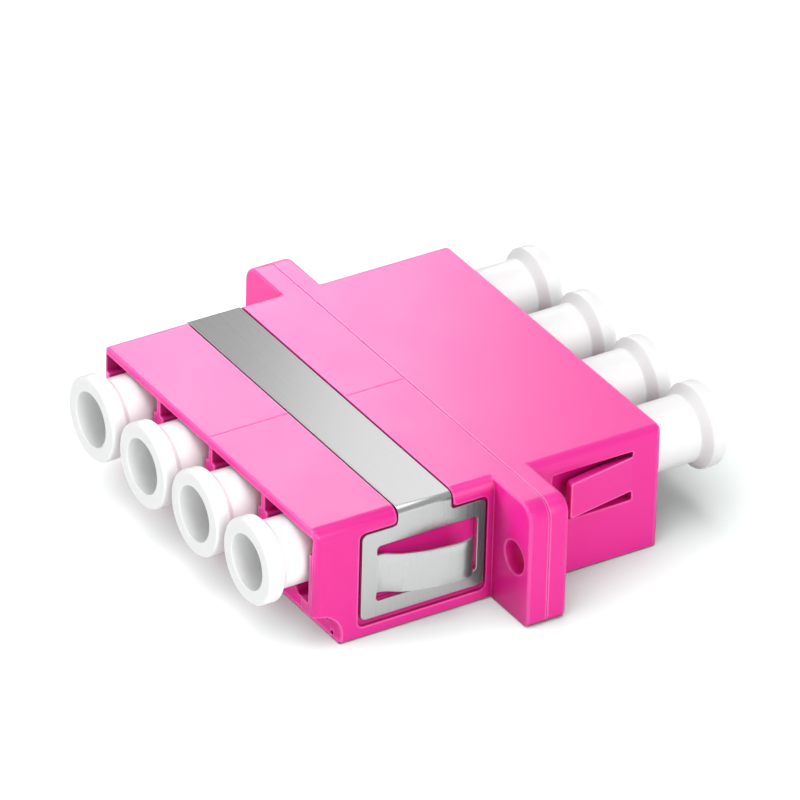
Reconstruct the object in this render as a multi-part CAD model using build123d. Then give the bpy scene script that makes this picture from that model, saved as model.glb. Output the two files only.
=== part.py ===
from build123d import *
import os

# Quad fibre optic adapter: four paired ports through a flanged, two-part
# moulded body, a folded spring clip round the front half, and a dust cap
# in each of the eight port mouths.
# Millimetres. X runs across the ports, Y along the fibres, Z up.
# The origin is the centre of the flange's panel face, midway between the
# two fixing holes. The front half, which goes through the panel, is at -Y.

# Body and flange
port_count = 4
port_pitch = 6.25
mouth_side_wall = 0.425
body_height = 8.55
front_length = 12.7
rear_length = 9.3
flange_ear = 4.1
front_flange = 1.4
rear_flange = 1.45
flange_top_corner = 1.2
flange_bottom_corner = 0.5
flange_edge = 0.15
rear_flange_edge = 0.35
fixing_inset = 1.7
fixing_hole = 2.2
long_edge_radius = 0.75
upright_edge_radius = 0.5
foot_edge_radius = 0.25
end_edge_radius = 0.12

# Ports
port_axis_drop = 2.95
port_square = 4.7
mouth_width = 5.15
mouth_top_web = 0.45
mouth_step_height = 1.15
mouth_depth = 1.6
latch_slot_width = 3.55
floor_wall = 0.9
latch_pocket_width = 4.5
latch_pocket_height = 1.5
latch_ledge = 3.3
latch_pocket_length = 2.6
scoop_radius = 1.75
scoop_centre_height = 0.63
scoop_setback = 0.25
ejector_mark = 0.25
ejector_mark_depth = 0.2
ejector_mark_height = 0.3
ejector_mark_inset = 1.1
rear_notch_depth = 2.0
partition_setback = 0.18
port_web = 1.2

# Alignment sleeves and their holders
sleeve_outer = 1.62
sleeve_inner = 1.25
sleeve_length = 6.8
sleeve_slit = 0.25
sleeve_clearance = 0.04
sleeve_end_play = 0.05
holder_flange = 1.4
holder_flange_diameter = 4.3
holder_barrel = 2.5
holder_barrel_length = 3.1
holder_mouth = 1.36
holder_lead = 0.15
holder_clearance = 0.04

# Locating pegs of the weld joint
peg_diameter = 0.8
peg_length = 0.7
peg_spacing_z = 5.2
peg_inset = 0.7
peg_clearance = 0.03

# Dust caps
cap_shaft = 4.35
cap_head_gap = 0.7
cap_rim = 1.0
cap_cone = 0.55
cap_length = 11.5
cap_edge = 0.1
cap_nose_chamfer = 0.3
cap_hole = 3.6
cap_hole_depth = 3.6
cap_ring_hole = 3.2
cap_ring_depth = 2.2
cap_nose_bore = 3.0
cap_nose_depth = 6.0
front_cap_reach = 2.8
rear_cap_reach = 5.25

# Spring clip
sheet = 0.25
clip_gap = 0.02
clip_bend = 0.5
strap_width = 3.8
strap_from_panel = 3.05
clip_front = 9.35
clip_rear = 0.6
clip_foot_height = 1.25
clip_head_height = 7.35
clip_corner = 0.4
clip_neck_corner = 0.3
clip_front_bar = 1.08
clip_rear_bar = 0.55
clip_foot_bar = 1.1
clip_head_bar = 1.1
window_corner = 0.25
tongue_height = 2.7
tongue_end_gap = 0.95
tongue_bulge = 1.35
tongue_tip = 1.05
# Points of the tongue's bow: share of its length, share of its bulge
tongue_bow = [(0, 0), (0.18, 0.36), (0.45, 0.8), (0.78, 1)]
clip_neck_gap = 0.1
clip_recess_margin = 0.15
clip_recess_below = 0.42
clip_recess_front = 0.2
clip_window_pocket = 0.25

# Moulded side latch of the rear half
side_latch_root = 2.15
side_latch_length = 5.0
side_latch_bottom = 4.6
side_latch_height = 2.5
side_latch_thickness = 0.6
side_latch_rise = 0.9
side_latch_tip_gap = 0.8
side_latch_tip_radius = 0.2
side_pocket_wall = 0.3
side_slot_above = 0.35
side_slot_below = 0.6
side_relief_depth = 0.15
side_relief_bottom = 2.9
side_relief_top = 5.5

# Widths and places worked out from the sizes
mouth_top_width = port_pitch - mouth_top_web
cap_head = port_pitch - cap_head_gap
body_width = (port_count - 1) * port_pitch + mouth_top_width + 2 * mouth_side_wall
flange_width = body_width + 2 * flange_ear
fixing_spacing = flange_width - 2 * fixing_inset
bottom = -body_height / 2
top = body_height / 2
front_end = -front_length
seam = front_flange
flange_back = front_flange + rear_flange
rear_end = flange_back + rear_length
side = body_width / 2
axis_z = top - port_axis_drop
port_floor = axis_z - port_square / 2
slot_floor = bottom + floor_wall
port_x = [(k - (port_count - 1) / 2) * port_pitch for k in range(port_count)]
mating_plane = seam - holder_flange
pocket_front = mating_plane - holder_flange
front_web_face = pocket_front - port_web
rear_web_face = seam + port_web
holder_pocket = holder_flange_diameter + 2 * holder_clearance
barrel_hole = holder_barrel + 2 * holder_clearance
peg_x = side + peg_inset
skin = 1.0


def block(x0, x1, y0, y1, z0, z1):
    """A box between two corners."""
    box = Box(x1 - x0, y1 - y0, z1 - z0)
    return Pos((x0 + x1) / 2, (y0 + y1) / 2, (z0 + z1) / 2) * box


def rod(diameter, x, y0, y1, z):
    """A round bar or bore along Y."""
    bar = Cylinder(diameter / 2, abs(y1 - y0))
    return Pos(x, (y0 + y1) / 2, z) * Rot(90, 0, 0) * bar


def edges_along(part, axis, test):
    """The straight edges of a part along one axis whose centre passes a test."""
    return [e for e in part.edges().filter_by(axis) if test(e.center())]


def shell_blank(y_outer, y_seam):
    """Outer form of one housing half: the body, its outer end rounded."""
    y0, y1 = min(y_outer, y_seam), max(y_outer, y_seam)
    section = block(-side, side, y0, y1, bottom, top)
    section = fillet(edges_along(section, Axis.Y, lambda c: c.Z > 0), long_edge_radius)
    section = fillet(edges_along(section, Axis.Y, lambda c: c.Z < 0), foot_edge_radius)
    plan = block(-side, side, y0, y1, bottom, top)
    uprights = edges_along(plan, Axis.Z, lambda c: abs(c.Y - y_outer) < skin)
    body = section & fillet(uprights, upright_edge_radius)
    end = body.faces().filter_by(Axis.Y).sort_by(Axis.Y)[0 if y_outer < y_seam else -1]
    crest = [e for e in end.edges() if e.center().Z > top - long_edge_radius / 2]
    return fillet(crest, end_edge_radius)


def flange_plate(y0, y1, outer_y, edge_radius):
    """One half of the flange, with its corners and outer edge rounded."""
    reach = flange_width / 2
    plate = block(-reach, reach, y0, y1, bottom, top)
    plate = fillet(edges_along(plate, Axis.Y, lambda c: c.Z > 0), flange_top_corner)
    plate = fillet(edges_along(plate, Axis.Y, lambda c: c.Z < 0), flange_bottom_corner)
    rim = plate.faces().filter_by(Axis.Y).sort_by(Axis.Y)[0 if outer_y == y0 else -1]
    return fillet(rim.edges(), edge_radius)


def port_cut(x, y_mouth, y_web):
    """Opening of one port: square bore, latch slot, catch pocket and mouth."""
    inward = 1 if y_web > y_mouth else -1
    y_out = y_mouth - inward * skin
    half = port_square / 2
    slot = latch_slot_width / 2
    pocket = latch_pocket_width / 2
    y_ledge = y_mouth + inward * latch_ledge
    y_pocket = y_ledge + inward * latch_pocket_length
    y_step = y_mouth + inward * mouth_depth
    span = sorted((y_out, y_web))
    catch = sorted((y_ledge, y_pocket))
    mouth = sorted((y_out, y_step))
    step_z = axis_z + mouth_step_height
    cut = block(x - half, x + half, *span, port_floor, axis_z + half)
    cut += block(x - slot, x + slot, *span, slot_floor, axis_z)
    cut += block(x - pocket, x + pocket, *catch, port_floor - latch_pocket_height, axis_z)
    cut += block(x - mouth_width / 2, x + mouth_width / 2, *mouth, port_floor, step_z)
    wide = mouth_top_width / 2
    cut += block(x - wide, x + wide, *mouth, step_z, axis_z + half)
    return cut


def partition_recess():
    """Shallow step that sets the partitions between the front mouths back."""
    reach = port_x[-1] + mouth_width / 2
    y_out, y_back = front_end - skin, front_end + partition_setback
    return block(-reach, reach, y_out, y_back, port_floor, axis_z + port_square / 2)


def front_scoop():
    """Concave cut along the lower front edge, which bares the latches."""
    centre_y = front_end + scoop_setback
    centre_z = bottom + scoop_centre_height
    reach = side + skin
    round_cut = Cylinder(scoop_radius, 2 * reach)
    cut = Pos(0, centre_y, centre_z) * Rot(0, 90, 0) * round_cut
    lip = block(-reach, reach, front_end - skin, centre_y, bottom - skin, centre_z + scoop_radius)
    return cut + lip


def clip_outline(ahead, behind, below, beside):
    """Side view of the clip, in Y and Z: neck and frame, grown by margins."""
    y0, y1 = -clip_front - ahead, -clip_rear + behind
    z0, z1 = bottom + clip_foot_height - below, bottom + clip_head_height + behind
    frame = Pos((y0 + y1) / 2, (z0 + z1) / 2) * RectangleRounded(y1 - y0, z1 - z0, clip_corner)
    neck_y = -strap_from_panel - strap_width / 2
    neck_z0, neck_z1 = z1 - clip_corner, top + skin
    neck_width = strap_width + 2 * beside
    neck = Pos(neck_y, (neck_z0 + neck_z1) / 2) * Rectangle(neck_width, neck_z1 - neck_z0)
    outline = frame + neck
    inner = [v for v in outline.vertices() if abs(v.Y - z1) < end_edge_radius and abs(v.X - neck_y) < strap_width]
    return fillet(inner, clip_neck_corner)


def through_x(sketch, reach):
    """A side-view sketch pushed both ways along X."""
    return extrude(Plane.YZ * sketch, amount=reach, both=True)


def clip_seat():
    """What the clip takes out of the front half: groove, recesses, pockets."""
    depth = sheet + 2 * clip_gap
    margins = clip_recess_front, clip_recess_margin, clip_recess_below, clip_neck_gap
    outer = block(-side - skin, side + skin, front_end, seam, bottom - skin, top + skin)
    across, below = side - depth, bottom - 2 * skin
    core = block(-across, across, front_end - skin, seam + skin, below, top - depth)
    core = fillet(edges_along(core, Axis.Y, lambda c: c.Z > 0), clip_bend - sheet)
    seat = (outer - core) & through_x(clip_outline(*margins), side + skin)
    pocket_depth = depth + clip_window_pocket
    y0, y1 = -clip_front + clip_front_bar, -clip_rear - clip_rear_bar
    z0, z1 = window_heights()
    for s in (-1, 1):
        xs = sorted((s * (side - pocket_depth), s * (side - depth + clip_gap)))
        seat += block(*xs, y0, y1, z0, z1)
    return seat


def window_heights():
    """Lowest and highest edge of the clip's side window."""
    return bottom + clip_foot_height + clip_foot_bar, bottom + clip_head_height - clip_head_bar


def front_housing():
    """Front half: body, flange half, four ports and the seat of the clip."""
    part = shell_blank(front_end, seam) + flange_plate(0, seam, 0, flange_edge)
    for x in port_x:
        part -= port_cut(x, front_end, front_web_face)
        part -= rod(holder_pocket, x, pocket_front, seam + skin, axis_z)
        part -= rod(barrel_hole, x, front_web_face - skin, pocket_front + skin, axis_z)
    part -= partition_recess()
    part -= front_scoop()
    part -= clip_seat()
    mark_z = bottom + ejector_mark_height
    mark_y = front_end + scoop_setback + scoop_radius
    for s in (-1, 1):
        mark_x = s * (side - ejector_mark_inset)
        part -= rod(ejector_mark, mark_x, mark_y - skin, mark_y + ejector_mark_depth, mark_z)
        part -= rod(fixing_hole, s * fixing_spacing / 2, -skin, seam + skin, 0)
        for z in (-peg_spacing_z / 2, peg_spacing_z / 2):
            peg_floor = seam - peg_length - peg_clearance
            part -= rod(peg_diameter + 2 * peg_clearance, s * peg_x, peg_floor, seam + skin, z)
    return part


def latch_tongue(s):
    """Sprung latch moulded in the rear half's side, leaning out to its free end."""
    y_root = rear_end - side_latch_root
    y_tip = y_root - side_latch_length
    z0 = bottom + side_latch_bottom
    x_in, x_out = side - side_latch_thickness, side
    lean = side_latch_rise
    outline = Polyline(
        (x_in, y_root), (x_in + lean, y_tip), (x_out + lean, y_tip), (x_out, y_root), close=True
    )
    tongue = extrude(Plane.XY.offset(z0) * make_face(outline), amount=side_latch_height)
    tip = edges_along(tongue, Axis.X, lambda c: c.Y < y_tip + side_latch_tip_radius)
    tongue = fillet(tip, side_latch_tip_radius)
    return tongue if s > 0 else mirror(tongue, Plane.YZ)


def latch_window(s):
    """Pocket in the rear half's side wall round the sprung latch."""
    y_root = rear_end - side_latch_root
    y0 = y_root - side_latch_length - side_latch_tip_gap
    z0 = bottom + side_latch_bottom - side_slot_below
    z1 = bottom + side_latch_bottom + side_latch_height + side_slot_above
    x_floor = port_x[-1] + port_square / 2 + side_pocket_wall
    xs = sorted((s * x_floor, s * (side + skin)))
    return block(*xs, y0, y_root, z0, z1)


def rear_housing():
    """Rear half: body, flange half, four ports, side latches and pegs."""
    part = shell_blank(rear_end, seam) + flange_plate(seam, flange_back, flange_back, rear_flange_edge)
    for x in port_x:
        part -= port_cut(x, rear_end, rear_web_face)
        part -= rod(barrel_hole, x, seam - skin, rear_web_face + skin, axis_z)
        notch = latch_slot_width / 2
        y_notch = rear_end - rear_notch_depth
        part -= block(x - notch, x + notch, y_notch, rear_end + skin, bottom - skin, axis_z)
    for s in (-1, 1):
        part -= latch_window(s)
        part += latch_tongue(s)
        relief_x = sorted((s * (side - skin), s * (side + skin)))
        relief_z = bottom + side_relief_bottom, bottom + side_relief_top
        part -= block(*relief_x, rear_end - side_relief_depth, rear_end + skin, *relief_z)
        part -= rod(fixing_hole, s * fixing_spacing / 2, seam - skin, flange_back + skin, 0)
        for z in (-peg_spacing_z / 2, peg_spacing_z / 2):
            part += rod(peg_diameter, s * peg_x, seam - peg_length, seam, z)
    return part


def clip_tongue(s):
    """Sprung tongue of the clip: it bows out of its window, its tip curled in."""
    y_root = -clip_front + clip_front_bar
    y_tip = -clip_rear - clip_rear_bar - tongue_end_gap
    length = y_tip - y_root
    x0 = side - clip_gap - sheet
    reach = [(x0 + rise * tongue_bulge, y_root + along * length) for along, rise in tongue_bow]
    reach += [(x0 + tongue_tip, y_tip)]
    inner = Spline(*reach, tangents=[(0, 1), (-1, 1)])
    outer = Spline(*[(x + sheet, y) for x, y in reach], tangents=[(0, 1), (-1, 1)])
    ends = [Line(inner @ 0, outer @ 0), Line(inner @ 1, outer @ 1)]
    face = make_face([inner, outer] + ends)
    middle = bottom + (clip_foot_height + clip_head_height) / 2
    tongue = extrude(Plane.XY.offset(middle - tongue_height / 2) * face, amount=tongue_height)
    return tongue if s > 0 else mirror(tongue, Plane.YZ)


def spring_clip():
    """Folded steel clip: a strap over the top, a windowed frame on each side."""
    x_out = side - clip_gap
    z_out = top - clip_gap
    y0, y1 = -clip_front, -clip_rear
    outer = block(-x_out, x_out, y0, y1, bottom, z_out)
    outer = fillet(edges_along(outer, Axis.Y, lambda c: c.Z > 0), clip_bend)
    inner = block(-x_out + sheet, x_out - sheet, y0 - skin, y1 + skin, bottom - skin, z_out - sheet)
    inner = fillet(edges_along(inner, Axis.Y, lambda c: c.Z > 0), clip_bend - sheet)
    wy0, wy1 = -clip_front + clip_front_bar, -clip_rear - clip_rear_bar
    wz0, wz1 = window_heights()
    window = Pos((wy0 + wy1) / 2, (wz0 + wz1) / 2) * RectangleRounded(wy1 - wy0, wz1 - wz0, window_corner)
    clip = (outer - inner) & through_x(clip_outline(0, 0, 0, 0) - window, side + skin)
    for s in (-1, 1):
        clip += clip_tongue(s)
    return clip


def sleeve_holder(x, toward):
    """One half of a sleeve holder: flange on the mating plane, barrel in the port."""
    shoulder = mating_plane + toward * holder_flange
    tip = shoulder + toward * holder_barrel_length
    bore_end = mating_plane + toward * (sleeve_length / 2 + sleeve_end_play)
    part = rod(holder_flange_diameter, x, mating_plane, shoulder, axis_z)
    barrel = rod(holder_barrel, x, shoulder, tip, axis_z)
    rims = barrel.edges().filter_by(GeomType.CIRCLE).sort_by(Axis.Y)
    part += chamfer(rims[-1] if toward > 0 else rims[0], holder_lead)
    part -= rod(sleeve_outer + 2 * sleeve_clearance, x, mating_plane - toward * skin, bore_end, axis_z)
    return part - rod(holder_mouth, x, mating_plane, tip + toward * skin, axis_z)


def alignment_sleeve(x):
    """Split ceramic sleeve that holds two ferrules end to end."""
    y0, y1 = mating_plane - sleeve_length / 2, mating_plane + sleeve_length / 2
    part = rod(sleeve_outer, x, y0, y1, axis_z) - rod(sleeve_inner, x, y0 - skin, y1 + skin, axis_z)
    slit = sleeve_slit / 2
    return part - block(x - slit, x + slit, y0 - skin, y1 + skin, axis_z, axis_z + sleeve_outer)


def dust_cap(x, y_end, outward):
    """Turned form of a moulded dust cap: flanged head, hollow shaft and nose."""
    shaft, head = cap_shaft / 2, cap_head / 2
    neck = cap_length - cap_rim - cap_cone
    hole_floor = cap_length - cap_hole_depth
    ring = cap_length - cap_ring_depth
    outline = Polyline(
        (0, cap_nose_depth),
        (cap_nose_bore / 2, cap_nose_depth),
        (cap_nose_bore / 2, 0),
        (shaft - cap_nose_chamfer, 0),
        (shaft, cap_nose_chamfer),
        (shaft, neck),
        (head, neck + cap_cone),
        (head, cap_length - cap_edge),
        (head - cap_edge, cap_length),
        (cap_hole / 2, cap_length),
        (cap_hole / 2, ring),
        (cap_ring_hole / 2, ring),
        (cap_ring_hole / 2, hole_floor),
        (0, hole_floor),
        close=True,
    )
    cap = revolve(make_face(outline), Axis.Y)
    turn = Rot(0, 0, 0) if outward > 0 else Rot(0, 0, 180)
    return Pos(x, y_end, axis_z) * turn * Pos(0, -cap_length, 0) * cap


def main():
    nodes = {
        "front_housing": front_housing(),
        "rear_housing": rear_housing(),
        "spring_clip": spring_clip(),
    }
    for number, x in enumerate(port_x, start=1):
        nodes[f"dust_cap_front_{number}"] = dust_cap(x, front_end - front_cap_reach, -1)
        nodes[f"dust_cap_rear_{number}"] = dust_cap(x, rear_end + rear_cap_reach, 1)
        nodes[f"sleeve_holder_front_{number}"] = sleeve_holder(x, -1)
        nodes[f"sleeve_holder_rear_{number}"] = sleeve_holder(x, 1)
        nodes[f"alignment_sleeve_{number}"] = alignment_sleeve(x)
    os.makedirs("parts", exist_ok=True)
    for name, solid in nodes.items():
        export_step(solid, f"parts/{name}.step")


main()
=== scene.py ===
import math

import bpy
from mathutils import Matrix, Vector


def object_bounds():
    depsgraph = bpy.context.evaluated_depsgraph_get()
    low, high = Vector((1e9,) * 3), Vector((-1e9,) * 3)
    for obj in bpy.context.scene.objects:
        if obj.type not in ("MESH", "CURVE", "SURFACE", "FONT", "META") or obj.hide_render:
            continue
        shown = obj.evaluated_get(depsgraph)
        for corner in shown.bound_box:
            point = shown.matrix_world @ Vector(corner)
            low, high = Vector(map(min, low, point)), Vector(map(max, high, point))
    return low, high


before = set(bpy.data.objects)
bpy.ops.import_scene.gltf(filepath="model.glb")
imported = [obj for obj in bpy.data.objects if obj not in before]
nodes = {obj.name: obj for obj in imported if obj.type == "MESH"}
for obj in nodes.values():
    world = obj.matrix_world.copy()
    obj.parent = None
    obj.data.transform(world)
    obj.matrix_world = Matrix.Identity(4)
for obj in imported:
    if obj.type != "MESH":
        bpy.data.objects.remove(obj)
cad_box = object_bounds()
MM = 0.001


# The moulded body: two halves in glossy magenta PBT, welded face to face at
# the flange, so a fine joint line runs all round it. The front half was
# moulded in a split cavity, which left a witness line along its top.
HOUSING_EDGE = 0.07 * MM
WITNESS_WIDTH = 0.05 * MM
WITNESS_HEIGHT = 0.02 * MM
GRAIN = 0.09 * MM
GRAIN_HEIGHT = 0.01 * MM
FLOW = 3.5 * MM
FLOW_SHARE = 0.1
OPEN_SHARE = 0.94
SEAM_SHADE = 0.12
RECESS_REACH = 1.5 * MM
CREVICE_REACH = 0.6 * MM
# A painted highlight makes the open edges paler, over this width and in this colour.
EDGE_HIGHLIGHT_WIDTH = 0.2 * MM
EDGE_HIGHLIGHT_MAGENTA = "#F872BE"
# Painted shade: the magenta darkens from these open-face stops towards the seams and recesses.
MAGENTA_PAINTED_SHADE_BY_OPENNESS = ((0.3, "#D2127E"), (0.92, "#E61891"))
MAGENTA_PAINTED_SHADE_IN_SEAMS, MAGENTA_IN_THE_OPEN = "#8A064E", "#E91A94"
HOUSING_ROUGHNESS = (0.37, 0.41)
NOISE_LOW, NOISE_HIGH = 0.3, 0.7
WELD_REACH = 0.0005 * MM
FLAT_WITHIN = 0.3
FLAT_FACE_WEIGHT = 80


def linear(code):
    """An sRGB hex colour as the linear values that a shader takes."""
    parts = [int(code[i : i + 2], 16) / 255 for i in (1, 3, 5)]
    return [c / 12.92 if c <= 0.04045 else ((c + 0.055) / 1.055) ** 2.4 for c in parts] + [1]


def add_node(tree, kind, settings=(), values=(), links=()):
    """Adds a shader node with its settings, its own input values and what feeds it."""
    node = tree.nodes.new(kind)
    for name, value in dict(settings).items():
        setattr(node, name, value)
    for name, value in dict(values).items():
        node.inputs[name].default_value = value
    for name, socket in dict(links).items():
        tree.links.new(socket, node.inputs[name])
    return node


def new_material(name):
    """An empty material with an output, and the object coordinates to draw on."""
    material = bpy.data.materials.new(name)
    material.use_nodes = True
    tree = material.node_tree
    tree.nodes.clear()
    place = add_node(tree, "ShaderNodeTexCoord").outputs["Object"]
    return material, tree, place


def finish_material(tree, shader):
    """Wires a shader to the output of its material."""
    add_node(tree, "ShaderNodeOutputMaterial", links={"Surface": shader.outputs["BSDF"]})


def dress(node, material):
    """Gives a CAD node its material."""
    node.data.materials.clear()
    node.data.materials.append(material)


def soften(node, width, segments=2, angle=30):
    """Breaks a CAD node's sharp edges by a small radius, as a tool or a die leaves them."""
    weld = node.modifiers.new("join corners", "WELD")
    weld.merge_threshold = WELD_REACH
    flat = node.modifiers.new("join flats", "DECIMATE")
    flat.decimate_type = "DISSOLVE"
    flat.angle_limit = math.radians(FLAT_WITHIN)
    edge = node.modifiers.new("edge radius", "BEVEL")
    edge.width = width
    edge.segments = segments
    edge.limit_method = "ANGLE"
    edge.angle_limit = math.radians(angle)
    edge.use_clamp_overlap = False
    edge.miter_outer = "MITER_ARC"
    normals = node.modifiers.new("even shading", "WEIGHTED_NORMAL")
    normals.keep_sharp = False
    normals.weight = FLAT_FACE_WEIGHT


def moulded_magenta(name, witness=False):
    """Gloss-moulded PBT: an even, saturated colour under a soft sheen.

    Painted shade makes it deeper where walls face each other and darkest in
    the seams, and a painted highlight makes it paler along the open edges. The
    fine grain is drawn as coarse as it needs to be to show.
    """
    material, tree, place = new_material(name)
    flow = add_node(
        tree,
        "ShaderNodeTexNoise",
        values={"Scale": 1 / FLOW, "Detail": 2, "Roughness": 0.5},
        links={"Vector": place},
    )
    grain = add_node(
        tree,
        "ShaderNodeTexNoise",
        values={"Scale": 1 / GRAIN, "Detail": 1, "Roughness": 0.5},
        links={"Vector": place},
    )

    # Painted shade: how open each spot is, from 0 in a seam to 1 on a free face, sets how deep the magenta
    # is.
    recess = add_node(
        tree, "ShaderNodeAmbientOcclusion", {"only_local": True, "samples": 8}, {"Distance": RECESS_REACH}
    )
    crevice = add_node(tree, "ShaderNodeAmbientOcclusion", {"samples": 8}, {"Distance": CREVICE_REACH})
    mottle = add_node(
        tree, "ShaderNodeMath", {"operation": "MULTIPLY"}, {1: FLOW_SHARE}, {0: flow.outputs["Fac"]}
    )
    depth = add_node(
        tree,
        "ShaderNodeMath",
        {"operation": "MULTIPLY_ADD"},
        {1: OPEN_SHARE},
        {0: recess.outputs["AO"], 2: mottle.outputs[0]},
    )
    seam = add_node(
        tree,
        "ShaderNodeMapRange",
        values={"From Min": 0.45, "From Max": 0.9, "To Min": SEAM_SHADE},
        links={"Value": crevice.outputs["AO"]},
    )
    openness = add_node(
        tree,
        "ShaderNodeMath",
        {"operation": "MULTIPLY"},
        links={0: depth.outputs[0], 1: seam.outputs["Result"]},
    )
    tone = add_node(tree, "ShaderNodeValToRGB", links={"Fac": openness.outputs[0]})
    stops = tone.color_ramp.elements
    stops[0].color = linear(MAGENTA_PAINTED_SHADE_IN_SEAMS)
    stops[1].color = linear(MAGENTA_IN_THE_OPEN)
    for position, colour in MAGENTA_PAINTED_SHADE_BY_OPENNESS:
        stops.new(position).color = linear(colour)

    # Painted highlight: an edge is where the surface turns within the highlight width, and it is drawn
    # paler there.
    facing = add_node(tree, "ShaderNodeNewGeometry")
    rounded = add_node(tree, "ShaderNodeBevel", {"samples": 6}, {"Radius": EDGE_HIGHLIGHT_WIDTH})
    turn = add_node(
        tree,
        "ShaderNodeVectorMath",
        {"operation": "DOT_PRODUCT"},
        links={0: rounded.outputs["Normal"], 1: facing.outputs["Normal"]},
    )
    edge = add_node(
        tree,
        "ShaderNodeMapRange",
        values={"From Min": 0.998, "From Max": 0.97},
        links={"Value": turn.outputs["Value"]},
    )
    outside = add_node(
        tree,
        "ShaderNodeMapRange",
        values={"From Min": 0.8, "From Max": 0.95},
        links={"Value": recess.outputs["AO"]},
    )
    edge_highlight = add_node(
        tree,
        "ShaderNodeMath",
        {"operation": "MULTIPLY"},
        links={0: edge.outputs["Result"], 1: outside.outputs["Result"]},
    )
    colour = add_node(
        tree,
        "ShaderNodeMixRGB",
        values={"Color2": linear(EDGE_HIGHLIGHT_MAGENTA)},
        links={"Fac": edge_highlight.outputs[0], "Color1": tone.outputs["Color"]},
    )

    sheen = add_node(
        tree,
        "ShaderNodeMapRange",
        values={
            "From Min": NOISE_LOW,
            "From Max": NOISE_HIGH,
            "To Min": HOUSING_ROUGHNESS[0],
            "To Max": HOUSING_ROUGHNESS[1],
        },
        links={"Value": flow.outputs["Fac"]},
    )
    height = add_node(
        tree,
        "ShaderNodeBump",
        values={"Strength": 0.06, "Distance": GRAIN_HEIGHT},
        links={"Height": grain.outputs["Fac"]},
    )
    if witness:
        split = add_node(tree, "ShaderNodeSeparateXYZ", links={"Vector": place})
        off = add_node(tree, "ShaderNodeMath", {"operation": "ABSOLUTE"}, links={0: split.outputs["X"]})
        ridge = add_node(
            tree,
            "ShaderNodeMapRange",
            values={"From Min": 0, "From Max": WITNESS_WIDTH, "To Min": 1, "To Max": 0},
            links={"Value": off.outputs[0]},
        )
        height = add_node(
            tree,
            "ShaderNodeBump",
            values={"Strength": 1, "Distance": WITNESS_HEIGHT},
            links={"Height": ridge.outputs["Result"], "Normal": height.outputs["Normal"]},
        )
    shader = add_node(
        tree,
        "ShaderNodeBsdfPrincipled",
        values={"IOR": 1.5},
        links={
            "Base Color": colour.outputs["Color"],
            "Roughness": sheen.outputs["Result"],
            "Normal": height.outputs["Normal"],
        },
    )
    finish_material(tree, shader)
    return material


dress(nodes["front_housing"], moulded_magenta("moulded_pbt_front", witness=True))
dress(nodes["rear_housing"], moulded_magenta("moulded_pbt_rear"))
soften(nodes["front_housing"], HOUSING_EDGE)
soften(nodes["rear_housing"], HOUSING_EDGE)


# The spring clip: one strip of cold-rolled stainless spring steel, 0.25 mm
# thick, blanked and folded over the body. Rolling leaves fine lines along
# the strip, and blanking leaves a rounded, brighter edge.
CLIP_EDGE = 0.05 * MM
ROLL_LINE = 0.05 * MM
ROLL_LENGTH = 6 * MM
ROLL_HEIGHT = 0.005 * MM
STEEL_DARK, STEEL_LIGHT = "#CFCFD0", "#D3D3D4"
STEEL_ROUGHNESS = (0.27, 0.31)


def rolled_steel(name):
    """Cold-rolled stainless strip: a soft mirror drawn out along the rolling lines.

    The real lines are finer than these, which are as coarse as they need to
    be to show.
    """
    material, tree, place = new_material(name)
    stretch = add_node(
        tree,
        "ShaderNodeMapping",
        values={"Scale": (1 / ROLL_LENGTH, 1 / ROLL_LINE, 1 / ROLL_LENGTH)},
        links={"Vector": place},
    )
    lines = add_node(
        tree,
        "ShaderNodeTexNoise",
        values={"Scale": 1, "Detail": 3, "Roughness": 0.6},
        links={"Vector": stretch.outputs[0]},
    )
    tone = add_node(tree, "ShaderNodeValToRGB", links={"Fac": lines.outputs["Fac"]})
    tone.color_ramp.elements[0].position = NOISE_LOW
    tone.color_ramp.elements[0].color = linear(STEEL_DARK)
    tone.color_ramp.elements[1].position = NOISE_HIGH
    tone.color_ramp.elements[1].color = linear(STEEL_LIGHT)
    rough = add_node(
        tree,
        "ShaderNodeMapRange",
        values={
            "From Min": NOISE_LOW,
            "From Max": NOISE_HIGH,
            "To Min": STEEL_ROUGHNESS[0],
            "To Max": STEEL_ROUGHNESS[1],
        },
        links={"Value": lines.outputs["Fac"]},
    )
    height = add_node(
        tree,
        "ShaderNodeBump",
        values={"Strength": 0.02, "Distance": ROLL_HEIGHT},
        links={"Height": lines.outputs["Fac"]},
    )
    shader = add_node(
        tree,
        "ShaderNodeBsdfPrincipled",
        values={"Metallic": 1},
        links={
            "Base Color": tone.outputs["Color"],
            "Roughness": rough.outputs["Result"],
            "Normal": height.outputs["Normal"],
        },
    )
    finish_material(tree, shader)
    return material


dress(nodes["spring_clip"], rolled_steel("rolled_spring_steel"))
soften(nodes["spring_clip"], CLIP_EDGE)


# The sleeve holders: two flanged barrels for each port, moulded in the same
# magenta PBT as the body and trapped between its halves. They show only at
# the bottom of an open port.
BARREL_EDGE = 0.04 * MM
PORTS = range(1, 5)

holder_plastic = moulded_magenta("moulded_pbt_holder")
for side in ("front", "rear"):
    for number in PORTS:
        holder = nodes[f"sleeve_holder_{side}_{number}"]
        dress(holder, holder_plastic)
        soften(holder, BARREL_EDGE)


# The alignment sleeves: split tubes of zirconia, ground to size and slit
# along one side, loose inside the holders so that they can grip two ferrules.
SLEEVE_EDGE = 0.02 * MM
GRIND_LINE = 0.03 * MM
GRIND_LENGTH = 0.6 * MM
CERAMIC_DARK, CERAMIC_LIGHT = "#ECEAE4", "#F3F1EC"
CERAMIC_ROUGHNESS = (0.12, 0.18)


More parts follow.
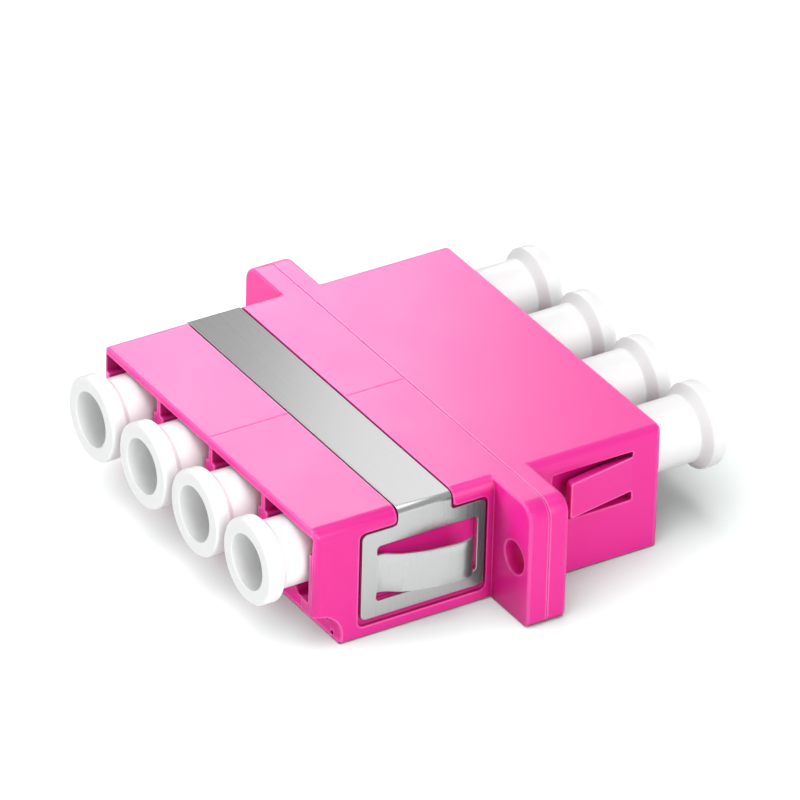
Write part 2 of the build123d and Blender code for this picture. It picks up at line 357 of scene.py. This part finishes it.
def ground_zirconia(name):
    """Ground zirconia: dense milk-white ceramic with a bright, tight gloss."""
    material, tree, place = new_material(name)
    turns = add_node(
        tree,
        "ShaderNodeMapping",
        values={"Scale": (1 / GRIND_LENGTH, 1 / GRIND_LINE, 1 / GRIND_LENGTH)},
        links={"Vector": place},
    )
    lines = add_node(
        tree,
        "ShaderNodeTexNoise",
        values={"Scale": 1, "Detail": 2, "Roughness": 0.5},
        links={"Vector": turns.outputs[0]},
    )
    tone = add_node(tree, "ShaderNodeValToRGB", links={"Fac": lines.outputs["Fac"]})
    tone.color_ramp.elements[0].color = linear(CERAMIC_DARK)
    tone.color_ramp.elements[1].color = linear(CERAMIC_LIGHT)
    rough = add_node(
        tree,
        "ShaderNodeMapRange",
        values={
            "From Min": NOISE_LOW,
            "From Max": NOISE_HIGH,
            "To Min": CERAMIC_ROUGHNESS[0],
            "To Max": CERAMIC_ROUGHNESS[1],
        },
        links={"Value": lines.outputs["Fac"]},
    )
    shader = add_node(
        tree,
        "ShaderNodeBsdfPrincipled",
        values={"IOR": 2.1},
        links={"Base Color": tone.outputs["Color"], "Roughness": rough.outputs["Result"]},
    )
    finish_material(tree, shader)
    return material


zirconia = ground_zirconia("ground_zirconia")
for number in PORTS:
    sleeve = nodes[f"alignment_sleeve_{number}"]
    dress(sleeve, zirconia)
    soften(sleeve, SLEEVE_EDGE)


# The dust caps: eight alike, moulded in soft white polyethylene and pushed
# into the port mouths by hand. The plastic is waxy and lets a little light
# in, so shadows on it stay pale.
CAP_EDGE = 0.06 * MM
CAP_SEGMENTS = 3
CAP_EDGE_ANGLE = 20
WAX_DEPTH = 0.6 * MM
WAX_MOTTLE = 0.8 * MM
WAX_HEIGHT = 0.01 * MM
WAX_DARK, WAX_LIGHT = "#DCDCDC", "#E1E1E1"
WAX_ROUGHNESS = (0.42, 0.5)


def soft_polyethylene(name):
    """Waxy white polyethylene: bright, with shadows softened from inside."""
    material, tree, place = new_material(name)
    mottle = add_node(
        tree,
        "ShaderNodeTexNoise",
        values={"Scale": 1 / WAX_MOTTLE, "Detail": 2, "Roughness": 0.5},
        links={"Vector": place},
    )
    tone = add_node(tree, "ShaderNodeValToRGB", links={"Fac": mottle.outputs["Fac"]})
    tone.color_ramp.elements[0].color = linear(WAX_DARK)
    tone.color_ramp.elements[1].color = linear(WAX_LIGHT)
    rough = add_node(
        tree,
        "ShaderNodeMapRange",
        values={
            "From Min": NOISE_LOW,
            "From Max": NOISE_HIGH,
            "To Min": WAX_ROUGHNESS[0],
            "To Max": WAX_ROUGHNESS[1],
        },
        links={"Value": mottle.outputs["Fac"]},
    )
    height = add_node(
        tree,
        "ShaderNodeBump",
        values={"Strength": 0.05, "Distance": WAX_HEIGHT},
        links={"Height": mottle.outputs["Fac"]},
    )
    shader = add_node(
        tree,
        "ShaderNodeBsdfPrincipled",
        values={
            "IOR": 1.51,
            "Subsurface Weight": 0.25,
            "Subsurface Radius": (1, 1, 1),
            "Subsurface Scale": WAX_DEPTH,
        },
        links={
            "Base Color": tone.outputs["Color"],
            "Roughness": rough.outputs["Result"],
            "Normal": height.outputs["Normal"],
        },
    )
    finish_material(tree, shader)
    return material


cap_plastic = soft_polyethylene("soft_polyethylene")
for side in ("front", "rear"):
    for number in PORTS:
        cap = nodes[f"dust_cap_{side}_{number}"]
        dress(cap, cap_plastic)
        soften(cap, CAP_EDGE, CAP_SEGMENTS, CAP_EDGE_ANGLE)


# The floor: a plain white table top. The camera sees one sheet of it. A greyer
# sheet just under that, hidden from the camera, is the one the body bounces
# light off and mirrors: painted shade on the table, which dims the light from
# below and greys the reflections in the lower sides, the cap undersides and the steel.
FLOOR_SIZE = 6
SHEET_GAP = 0.01 * MM
SEEN_GREY, BOUNCE_GREY = "#949796", "#808281"


def table(name, grey, drop):
    """One plain pale sheet of the table under the object."""
    bpy.ops.object.select_all(action="DESELECT")
    bpy.ops.mesh.primitive_plane_add(size=FLOOR_SIZE, location=(0, 0, cad_box[0].z - drop))
    sheet = bpy.context.object
    sheet.name = name
    material, tree = new_material(name)[:2]
    paint = {"Base Color": linear(grey), "Roughness": 0.9, "Specular IOR Level": 0.2}
    finish_material(tree, add_node(tree, "ShaderNodeBsdfPrincipled", values=paint))
    sheet.data.materials.append(material)
    return sheet


floor = table("white_table", SEEN_GREY, 0)
floor.visible_diffuse = False
floor.visible_glossy = False
floor.visible_transmission = False
floor.visible_shadow = False
# Painted shade: this hidden grey sheet stands in for the shaded table near the body.
under_floor = table("grey_table", BOUNCE_GREY, SHEET_GAP)
under_floor.visible_camera = False


# The studio: a white room and softboxes. Most lamps light only some of the
# pieces, because the white caps need far less light than the body and the
# steel. A tilted broad lamp lights the table alone, for its short soft shadow.
ROOM_STRENGTH = 0.48
SOFTBOX_SIZE = (0.3, 0.3)
OVERHEAD_SIZE = (0.5, 0.5)
WALL_SIZE = (0.4, 0.4)
SHEEN_CARD_SIZE = (0.043, 0.043)
STEEL_CARD_SIZE = (0.05, 0.04)
TABLE_SUN_STRENGTH = 14.6
TABLE_SUN_SPREAD = 110
TABLE_SUN_WAY = (0.12, 0.75, -1)

world = bpy.data.worlds.new("studio")
bpy.context.scene.world = world
world.use_nodes = True
world.node_tree.nodes["Background"].inputs["Color"].default_value = linear("#FFFFFF")
world.node_tree.nodes["Background"].inputs["Strength"].default_value = ROOM_STRENGTH


def softbox(name, place, size, watts, aim=(0, 0, 0)):
    """A rectangular lamp at a place, turned to what it lights, in metres and watts."""
    light = bpy.data.lights.new(name, "AREA")
    light.shape = "RECTANGLE"
    light.size, light.size_y = size
    light.energy = watts
    box = bpy.data.objects.new(name, light)
    bpy.context.collection.objects.link(box)
    box.location = place
    box.rotation_euler = (Vector(aim) - Vector(place)).to_track_quat("-Z", "Y").to_euler()
    box.visible_camera = False
    return box


def light_only(box, lit, state="INCLUDE"):
    """Makes a lamp light only the named objects, or all but them."""
    group = bpy.data.collections.new(box.name + "_lights")
    for node in lit:
        group.objects.link(node)
    for link in group.collection_objects:
        link.light_linking.link_state = state
    box.light_linking.receiver_collection = group


clip = [nodes["spring_clip"]]
front_caps = [nodes[f"dust_cap_front_{number}"] for number in PORTS]
rear_caps = [nodes[f"dust_cap_rear_{number}"] for number in PORTS]

softbox("overhead", (0.06, 0.05, 0.7), OVERHEAD_SIZE, 1.2)
left_front = softbox("left_front", (-0.25, -0.52, 0.28), SOFTBOX_SIZE, 2.8)
light_only(left_front, front_caps + rear_caps, "EXCLUDE")
right_side = softbox("right_side", (0.45, 0.02, 0.22), SOFTBOX_SIZE, 1.15)
light_only(right_side, clip, "EXCLUDE")

# These two give reflections only: a pale sheen over the front left of the top,
# which fades to the rear right.
back_wall = softbox("back_wall", (-0.5, 0.32, 0.36), WALL_SIZE, 0.42)
sheen_card = softbox(
    "sheen_card", (-0.0718, 0.0282, 0.0456), SHEEN_CARD_SIZE, 0.039, aim=(-0.015, -0.008, 0.0043)
)
for card in (back_wall, sheen_card):
    light_only(card, clip, "EXCLUDE")
    card.visible_diffuse = False

# The strap runs from a darker grey at its left end to nearly white at its bend.
steel_card = softbox("steel_card", (-0.026, 0.033, 0.047), STEEL_CARD_SIZE, 0.0053, aim=(0, -0.005, 0.0043))
light_only(steel_card, clip)

# The caps stay white on top and pale grey in their mouths and under their rims.
cap_left = softbox("cap_left", (-0.25, -0.52, 0.30), SOFTBOX_SIZE, 1.0)
light_only(cap_left, front_caps + rear_caps)
cap_right = softbox("cap_right", (0.48, -0.14, 0.20), SOFTBOX_SIZE, 1.25)
light_only(cap_right, front_caps)
front_cap_top = softbox("front_cap_top", (0.32, -0.02, 0.50), SOFTBOX_SIZE, 1.2)
light_only(front_cap_top, front_caps)
rear_cap_top = softbox("rear_cap_top", (0.34, 0.18, 0.46), SOFTBOX_SIZE, 1.15)
light_only(rear_cap_top, rear_caps)

table_lamp = bpy.data.lights.new("table_lamp", "SUN")
table_lamp.energy = TABLE_SUN_STRENGTH
table_lamp.angle = math.radians(TABLE_SUN_SPREAD)
table_light = bpy.data.objects.new("table_light", table_lamp)
bpy.context.collection.objects.link(table_light)
table_light.rotation_euler = Vector(TABLE_SUN_WAY).to_track_quat("-Z", "Y").to_euler()
light_only(table_light, [floor, under_floor])


# Two small grey cards stand right in front of the flange ears and are seen only
# in reflections, so the steel frames mirror grey and not the magenta flange.
# From behind they are clear, and the flange itself reflects as it would.
FLAG_WIDTH = 4.0 * MM
FLAG_HEIGHT = 8.5 * MM
FLAG_X, FLAG_Y = 14.8 * MM, -0.06 * MM
FLAG_GREY = "#707070"

flag_material, flag_tree = new_material("grey_card")[:2]
seen_side = add_node(flag_tree, "ShaderNodeNewGeometry")
grey = add_node(flag_tree, "ShaderNodeBsdfDiffuse", values={"Color": linear(FLAG_GREY)})
clear = add_node(flag_tree, "ShaderNodeBsdfTransparent")
one_sided = add_node(
    flag_tree,
    "ShaderNodeMixShader",
    links={0: seen_side.outputs["Backfacing"], 1: grey.outputs[0], 2: clear.outputs[0]},
)
add_node(flag_tree, "ShaderNodeOutputMaterial", links={"Surface": one_sided.outputs[0]})
for name, x in (("flag_left", -FLAG_X), ("flag_right", FLAG_X)):
    bpy.ops.object.select_all(action="DESELECT")
    bpy.ops.mesh.primitive_plane_add(size=1, location=(x, FLAG_Y, 0), rotation=(math.pi / 2, 0, 0))
    flag = bpy.context.object
    flag.name = name
    flag.scale = (FLAG_WIDTH, FLAG_HEIGHT, 1)
    bpy.ops.object.transform_apply(location=True, rotation=True, scale=True)
    flag.data.materials.append(flag_material)
    flag.visible_camera = False
    flag.visible_diffuse = False
    flag.visible_shadow = False
    flag.visible_transmission = False


# The camera: a long lens from the front right and above, turned slightly about
# its own line of sight.
CAMERA_AZIMUTH, CAMERA_ELEVATION, CAMERA_ROLL = 57.501, 31.516, 1.648
CAMERA_DISTANCE = 591.42 * MM
CAMERA_ACROSS, CAMERA_UPWARD = 1.001 * MM, 2.655 * MM
CAMERA_LENS = 430.76
SENSOR_WIDTH = 36
NEAREST_SEEN = 0.05

azimuth = math.radians(CAMERA_AZIMUTH)
elevation = math.radians(CAMERA_ELEVATION)
roll = math.radians(CAMERA_ROLL)
level = math.cos(elevation)
back = Vector((math.sin(azimuth) * level, -math.cos(azimuth) * level, math.sin(elevation)))
right = Vector((0, 0, 1)).cross(back).normalized()
up = back.cross(right)
across = math.cos(roll) * right + math.sin(roll) * up
upward = math.cos(roll) * up - math.sin(roll) * right
lens = bpy.data.cameras.new("camera")
lens.lens = CAMERA_LENS
lens.sensor_width = SENSOR_WIDTH
lens.clip_start = NEAREST_SEEN
camera = bpy.data.objects.new("camera", lens)
bpy.context.collection.objects.link(camera)
stand = CAMERA_ACROSS * across + CAMERA_UPWARD * upward + CAMERA_DISTANCE * back
camera.matrix_world = Matrix.Translation(stand) @ Matrix((across, upward, back)).transposed().to_4x4()
bpy.context.scene.camera = camera
bpy.context.scene.view_settings.view_transform = "Standard"
